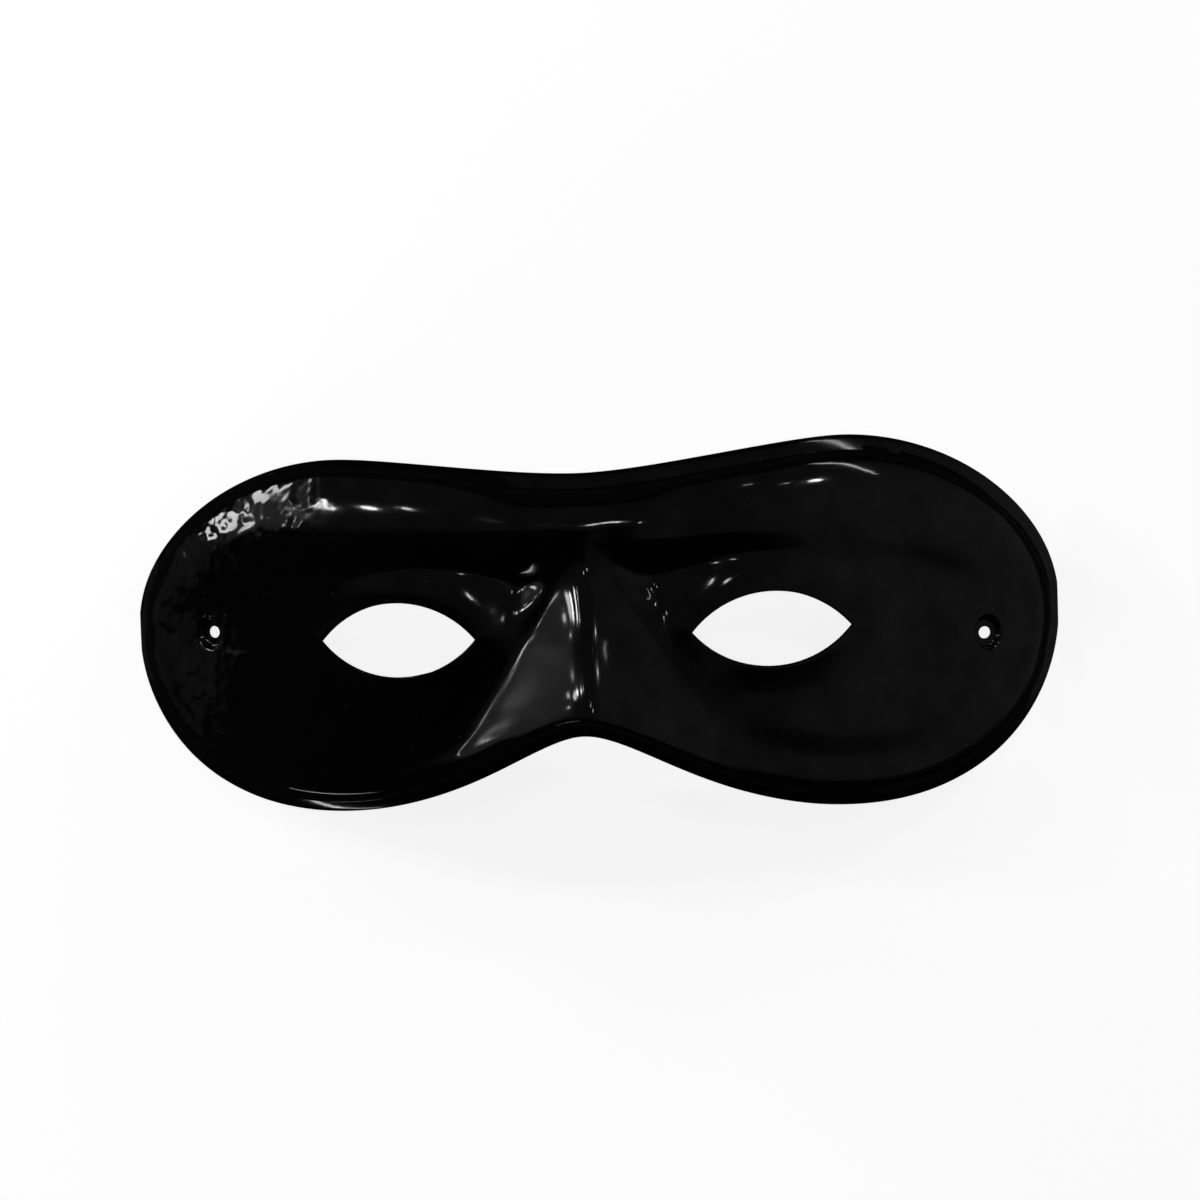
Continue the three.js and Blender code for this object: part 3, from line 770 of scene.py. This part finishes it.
@dataclass(frozen=True)
class MouldRipple:
    """The slow unevenness of a thin sheet that was drawn hot over a mould."""

    height: float = 0.05
    size: float = 14.0
    detail: float = 1.0
    seed: int = 7
    foot_from: float = 0.5
    foot_full: float = 4.0

    def tree(self) -> bpy.types.GeometryNodeTree:
        """Builds the node tree that moves the sheet's points along their normals.

        Returns:
            The tree, with an input for each size, the seed and the finish.
        """
        tree = bpy.data.node_groups.new("mould_ripple", "GeometryNodeTree")
        kinds = {
            "Geometry": "Geometry",
            "Ripple height": "Float",
            "Ripple size": "Float",
            "Seed": "Int",
            "Finish": "Material",
        }
        for name, kind in kinds.items():
            tree.interface.new_socket(name, in_out="INPUT", socket_type=f"NodeSocket{kind}")
        tree.interface.new_socket("Geometry", in_out="OUTPUT", socket_type="NodeSocketGeometry")

        given = add_node(tree, "NodeGroupInput").outputs
        place = add_node(tree, "GeometryNodeInputPosition")
        scale = add_node(tree, "ShaderNodeMath", {0: 1.0, 1: given["Ripple size"]}, operation="DIVIDE")
        wave = {"Vector": place, "W": given["Seed"], "Scale": scale, "Detail": self.detail}
        noise = add_node(tree, "ShaderNodeTexNoise", wave, noise_dimensions="4D")
        level = add_node(tree, "ShaderNodeMath", {0: noise, 1: NOISE_MIDDLE}, operation="SUBTRACT")
        height = add_node(tree, "ShaderNodeSeparateXYZ", {0: place}).outputs["Z"]
        # The feet stay flat.
        clearing = {"Value": height, "From Min": self.foot_from * MM, "From Max": self.foot_full * MM}
        clear = add_node(tree, "ShaderNodeMapRange", clearing, interpolation_type="SMOOTHSTEP")
        full = {0: level, 1: given["Ripple height"]}
        swell = add_node(tree, "ShaderNodeMath", full, operation="MULTIPLY")
        faded = add_node(tree, "ShaderNodeMath", {0: swell, 1: clear}, operation="MULTIPLY")
        normal = add_node(tree, "GeometryNodeInputNormal")
        move = add_node(tree, "ShaderNodeVectorMath", {0: normal, "Scale": faded}, operation="SCALE")
        shift = {"Geometry": given["Geometry"], "Offset": move}
        moved = add_node(tree, "GeometryNodeSetPosition", shift)
        real = add_node(tree, "GeometryNodeRealizeInstances", {"Geometry": moved})
        finish = {"Geometry": real, "Material": given["Finish"]}
        dressed = add_node(tree, "GeometryNodeSetMaterial", finish)
        add_node(tree, "NodeGroupOutput", {"Geometry": dressed})
        return tree

    def apply(self, obj: bpy.types.Object, finish: bpy.types.Material) -> None:
        """Ripples a sheet.

        Args:
            obj: The sheet.
            finish: The material that it keeps.
        """
        ripple = obj.modifiers.new("mould_ripple", "NODES")
        ripple.node_group = self.tree()
        values = {
            "Ripple height": self.height * MM,
            "Ripple size": self.size * MM,
            "Seed": self.seed,
            "Finish": finish,
        }
        for socket in ripple.node_group.interface.items_tree:
            if socket.in_out == "INPUT" and socket.name in values:
                ripple[socket.identifier] = values[socket.name]
        settle(obj)


def linear(code: str) -> tuple[float, float, float, float]:
    """Turns an sRGB hex code into a linear colour."""
    parts = [int(code[i : i + 2], 16) / 255 for i in (0, 2, 4)]
    return (*(p / 12.92 if p <= 0.04045 else ((p + 0.055) / 1.055) ** 2.4 for p in parts), 1.0)


@dataclass(frozen=True)
class GlossStyrene:
    """Black high-impact polystyrene sheet, which takes a wet-looking gloss from the mould."""

    colour: str = "070708"
    # Handling has dulled the gloss in soft patches, and the inner face never touched the mould.
    gloss: float = 0.07
    worn_gloss: float = 0.16
    worn_from: float = 0.45
    worn_full: float = 0.75
    worn_size: float = 22.0
    worn_detail: float = 3.0
    inner_gloss: float = 0.34
    # A thin film of skin grease lies on it in patches and makes its reflection uneven.
    film_thin: float = 0.4
    film_thick: float = 0.6
    film_from: float = 0.35
    film_full: float = 0.65
    film_size: float = 7.0
    film_detail: float = 4.0
    # Orange peel and slow crinkles make the reflections of small lamps waver.
    peel_size: float = 3.2
    peel_height: float = 0.012
    peel_detail: float = 2.0
    crinkle_size: float = 9.0
    crinkle_height: float = 0.03
    crinkle_detail: float = 1.0
    # The left end cooled unevenly and is folded in small facets, further in at its top.
    fold_size: float = 4.0
    fold_height: float = 0.45
    fold_detail: float = 1.0
    fold_slant: float = 0.6
    fold_from: float = -62.0
    fold_full: float = -68.0
    # A little dust shows as grey specks, drawn as coarse as they need to be seen.
    dust_spacing: float = 2.4
    dust_radius: float = 0.09
    dust_core: float = 0.6
    dust_colour: str = "8c8a86"

    def build(self) -> bpy.types.Material:
        """Makes the material.

        Returns:
            The material, for a mesh whose inner_face attribute is 1 on its inner face.
        """
        material = bpy.data.materials.new("gloss_black_styrene")
        material.use_nodes = True
        tree = material.node_tree
        shader = tree.nodes["Principled BSDF"]
        place = add_node(tree, "ShaderNodeTexCoord").outputs["Object"]

        patterns = {
            "worn": (self.worn_size, self.worn_detail),
            "film": (self.film_size, self.film_detail),
            "peel": (self.peel_size, self.peel_detail),
            "crinkle": (self.crinkle_size, self.crinkle_detail),
            "fold": (self.fold_size, self.fold_detail),
        }
        noise = {}
        for name, (size, detail) in patterns.items():
            fields = {"Vector": place, "Scale": 1 / (size * MM), "Detail": detail}
            noise[name] = add_node(tree, "ShaderNodeTexNoise", fields)
        slanted = {0: place, 1: (1.0, -self.fold_slant, 0.0)}
        across = add_node(tree, "ShaderNodeVectorMath", slanted, operation="DOT_PRODUCT")
        dusting = {"Vector": place, "Scale": 1 / (self.dust_spacing * MM)}
        cells = add_node(tree, "ShaderNodeTexVoronoi", dusting)

        grain = self.dust_radius / self.dust_spacing
        ranges = {
            "worn": (noise["worn"], self.worn_from, self.worn_full, self.gloss, self.worn_gloss),
            "film": (noise["film"], self.film_from, self.film_full, self.film_thin, self.film_thick),
            "folded": (across, self.fold_from * MM, self.fold_full * MM, 0.0, 1.0),
            "speck": (cells, grain * self.dust_core, grain, 1.0, 0.0),
        }
        level = {}
        for name, (value, low, high, start, stop) in ranges.items():
            fields = {"Value": value, "From Min": low, "From Max": high, "To Min": start, "To Max": stop}
            level[name] = add_node(tree, "ShaderNodeMapRange", fields)

        reliefs = {
            "peel": (self.peel_height, 1.0),
            "crinkle": (self.crinkle_height, 1.0),
            "fold": (self.fold_height, level["folded"]),
        }
        # Each bump is laid over the one before it.
        bumped = {}
        for name, (height, strength) in reliefs.items():
            fields = {"Height": noise[name], "Distance": height * MM, "Strength": strength, **bumped}
            bumped = {"Normal": add_node(tree, "ShaderNodeBump", fields)}

        inner = add_node(tree, "ShaderNodeAttribute", attribute_name="inner_face").outputs["Fac"]
        # A Mix node's sockets go by number: 2 and 3 mix numbers, 6 and 7 mix colours.
        rough = add_node(tree, "ShaderNodeMix", {0: inner, 2: level["worn"], 3: self.inner_gloss})
        shades = {0: level["speck"], 6: linear(self.colour), 7: linear(self.dust_colour)}
        colour = add_node(tree, "ShaderNodeMix", shades, data_type="RGBA")
        look = {"Base Color": colour, "Roughness": rough, "Specular IOR Level": level["film"], **bumped}
        wire(tree, shader, look)
        return material


@dataclass(frozen=True)
class PaleFloor:
    """White acrylic table, lit from below so that it stays clean white in the picture."""

    size: float = 4.0
    colour: str = "f2f2f2"
    glow: float = 0.85
    roughness: float = 0.6

    def build(self) -> bpy.types.Object:
        """Makes the floor under the mask.

        Returns:
            The floor, which lights the mask but isn't mirrored in its gloss.
        """
        half = self.size / 2
        mesh = bpy.data.meshes.new("floor")
        corners = [(-half, -half, 0), (half, -half, 0), (half, half, 0), (-half, half, 0)]
        mesh.from_pydata(corners, [], [(0, 1, 2, 3)])
        material = bpy.data.materials.new("white_acrylic")
        material.use_nodes = True
        look = {
            "Base Color": linear(self.colour),
            "Roughness": self.roughness,
            "Emission Color": WHITE,
            "Emission Strength": self.glow,
        }
        wire(material.node_tree, material.node_tree.nodes["Principled BSDF"], look)
        mesh.materials.append(material)
        floor = bpy.data.objects.new("floor", mesh)
        floor.visible_glossy = False
        bpy.context.collection.objects.link(floor)
        return floor


@dataclass(frozen=True)
class PhotoCamera:
    """The photograph's view: nearly straight down on the lying mask."""

    # The mask's turns as the camera sees it, in degrees.
    yaw: float = 3.217
    pitch: float = 1.749
    roll: float = 1.967
    # The form's origin lies this many pixels right of and below the picture's middle.
    across: float = -16.448
    down: float = 19.203
    # The camera's distance from it, and what a pixel spans there, in millimetres.
    distance: float = 600.0
    pixel: float = 0.1915
    sensor: float = 36.0
    nearest: float = 0.01

    def turn(self) -> Matrix:
        """Gives the turn from the mask's frame to the camera's.

        Returns:
            The turn, as a matrix of three rows.
        """
        yaw = Matrix.Rotation(math.radians(-self.yaw), 3, "Y")
        pitch = Matrix.Rotation(math.radians(self.pitch), 3, "X")
        return Matrix.Rotation(math.radians(self.roll), 3, "Z") @ pitch @ yaw

    def build(self, origin: Vector) -> bpy.types.Object:
        """Makes the camera.

        Args:
            origin: Where the mask form's own origin lies, in metres.

        Returns:
            The camera.
        """
        back = self.turn().transposed()
        lens = bpy.data.cameras.new("photo_camera")
        lens.sensor_width = self.sensor
        lens.lens = self.sensor * self.distance / (PHOTO_PIXELS * self.pixel)
        lens.clip_start = self.nearest
        camera = bpy.data.objects.new("photo_camera", lens)
        offset = Vector((-self.across * self.pixel, self.down * self.pixel, self.distance)) * MM
        camera.matrix_world = Matrix.Translation(origin + back @ offset) @ back.to_4x4()
        bpy.context.collection.objects.link(camera)
        bpy.context.scene.camera = camera
        return camera


@dataclass(frozen=True)
class Lamp:
    """One flat lamp, placed by the angle between it and the camera as the mask sees them."""

    name: str
    # Angles in degrees, sizes in metres.
    across: float
    up: float
    width: float
    height: float
    brightness: float
    distance: float = 1.2

    def build(self, axes: Matrix, aim: Vector) -> None:
        """Makes the lamp.

        Args:
            axes: The camera's axes.
            aim: The point that it faces.
        """
        light = bpy.data.lights.new(self.name, "AREA")
        light.shape = "ELLIPSE"
        light.size, light.size_y = self.width, self.height
        light.energy = self.brightness * math.pi * self.width * self.height * math.pi / 4
        lamp = bpy.data.objects.new(self.name, light)
        lamp.location = aim + (axes @ direction(self.across, self.up)) * self.distance
        lamp.rotation_euler = (aim - lamp.location).to_track_quat("-Z", "Y").to_euler()
        lamp.visible_camera = False
        bpy.context.collection.objects.link(lamp)


@dataclass(frozen=True)
class SoftGlow:
    """A lit part of the room with soft borders, by its angles from the camera as the mask sees them."""

    left: float
    right: float
    low: float
    high: float
    border: float
    brightness: float


def direction(across: float, up: float) -> Vector:
    """Gives the direction at two angles from the camera's own, in the camera's axes."""
    away, bearing = math.radians(math.hypot(across, up)), math.atan2(up, across)
    return Vector((math.sin(away) * math.cos(bearing), math.sin(away) * math.sin(bearing), math.cos(away)))


@dataclass
class Studio:
    """Everything round the mask: floor, camera, lamps and a dim room."""

    floor: PaleFloor = field(default_factory=PaleFloor)
    camera: PhotoCamera = field(default_factory=PhotoCamera)
    room: float = 0.004
    least_off_axis: float = 1e-4
    glows: list[SoftGlow] = field(
        default_factory=lambda: [
            SoftGlow(-62, 112, 0, 58, 10, 0.055),
            SoftGlow(0, 112, -25, 0, 10, 0.055),
            SoftGlow(30, 112, -25, 40, 40, 0.05),
            SoftGlow(-86, -63, 6, 48, 10, 0.24),
            SoftGlow(-112, -84, -20, 30, 10, 0.05),
        ]
    )
    lamps: list[Lamp] = field(
        default_factory=lambda: [
            Lamp("bulb_left_outer", -57, 22, 0.05, 0.09, 30),
            Lamp("bulb_left_middle", -47, 24, 0.05, 0.09, 30),
            Lamp("bulb_left_inner", -38.6, 26, 0.03, 0.06, 20),
            Lamp("bulb_middle_left", -4, 17, 0.03, 0.1, 20),
            Lamp("bulb_middle_right", 7, 12, 0.05, 0.08, 15),
            Lamp("bulb_right_outer", 35, 36, 0.06, 0.05, 30),
            Lamp("bulb_right_middle", 28, 38, 0.03, 0.02, 8),
            Lamp("bulb_right_inner", 19, 44, 0.03, 0.02, 6),
            Lamp("tube_right", 42, 51, 0.54, 0.03, 10),
            Lamp("tube_low", -55, -62, 0.6, 0.04, 12),
            Lamp("pane_top_right", -61, 20, 0.08, 0.1, 11),
            Lamp("pane_low_right", -66, 12, 0.05, 0.06, 8),
            Lamp("pane_top_left", -64, 28, 0.04, 0.05, 9),
            Lamp("pane_low_left", -68, 20, 0.04, 0.05, 9),
            Lamp("window_left", -88, 24, 0.1, 0.36, 10),
            Lamp("window_top", -74, 45, 0.36, 0.2, 10),
        ]
    )

    def room_light(self, axes: Matrix) -> None:
        """Lights the room itself softly.

        Args:
            axes: The camera's axes.
        """
        world = bpy.data.worlds.new("dim_room")
        bpy.context.scene.world = world
        world.use_nodes = True
        tree = world.node_tree
        way = add_node(tree, "ShaderNodeTexCoord").outputs["Generated"]
        shares = []
        for axis in axes.col:
            fields = {0: way, 1: axis}
            shares.append(add_node(tree, "ShaderNodeVectorMath", fields, operation="DOT_PRODUCT"))
        right, up, back = shares
        # Degrees from the camera's own direction, shared out between across and up.
        angle = add_node(tree, "ShaderNodeMath", {0: back}, operation="ARCCOSINE")
        away = add_node(tree, "ShaderNodeMath", {0: angle}, operation="DEGREES")
        square = add_node(tree, "ShaderNodeMath", {0: back, 1: back}, operation="MULTIPLY")
        rest = add_node(tree, "ShaderNodeMath", {0: 1.0, 1: square}, operation="SUBTRACT")
        sine = add_node(tree, "ShaderNodeMath", {0: rest}, operation="SQRT")
        off_axis = add_node(tree, "ShaderNodeMath", {0: sine, 1: self.least_off_axis}, operation="MAXIMUM")
        degrees = add_node(tree, "ShaderNodeMath", {0: away, 1: off_axis}, operation="DIVIDE")
        across = add_node(tree, "ShaderNodeMath", {0: right, 1: degrees}, operation="MULTIPLY")
        height = add_node(tree, "ShaderNodeMath", {0: up, 1: degrees}, operation="MULTIPLY")

        total: object = self.room
        for glow in self.glows:
            lit: object = glow.brightness
            borders = [
                (across, glow.left, glow.border),
                (across, glow.right, -glow.border),
                (height, glow.low, glow.border),
                (height, glow.high, -glow.border),
            ]
            for value, middle, width in borders:
                fields = {"Value": value, "From Min": middle - width / 2, "From Max": middle + width / 2}
                soft = add_node(tree, "ShaderNodeMapRange", fields, interpolation_type="SMOOTHSTEP")
                lit = add_node(tree, "ShaderNodeMath", {0: lit, 1: soft}, operation="MULTIPLY")
            total = add_node(tree, "ShaderNodeMath", {0: total, 1: lit}, operation="ADD")
        light = add_node(tree, "ShaderNodeMath", {0: total, 1: 0.0}, operation="MAXIMUM")
        wire(tree, tree.nodes["Background"], {"Strength": light, "Color": WHITE})

    def build(self, origin: Vector) -> bpy.types.Object:
        """Sets up the studio round the mask.

        Args:
            origin: Where the mask form's own origin lies, in metres.

        Returns:
            The floor.
        """
        bpy.context.scene.view_settings.view_transform = "Standard"
        camera = self.camera.build(origin)
        axes = camera.matrix_world.to_3x3()
        self.room_light(axes)
        for lamp in self.lamps:
            lamp.build(axes, origin)
        return self.floor.build()


def main() -> None:
    """Builds the mask and its studio, puts the mask on the root body and hides the CAD shell that it
    stands in for.
    """
    logging.basicConfig(level=logging.INFO)
    shell = MaskShell()
    mask = shell.build("moulded_mask", GlossStyrene().build())
    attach(mask, "root")
    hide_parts("mask_shell")
    logger.info("%s: %d faces", mask.name, len(mask.data.polygons))
    floor = Studio().build(Vector(shell.form.shift()) * MM)
    logger.info("%s: %d faces", floor.name, len(floor.data.polygons))


if __name__ == "__main__":
    main()
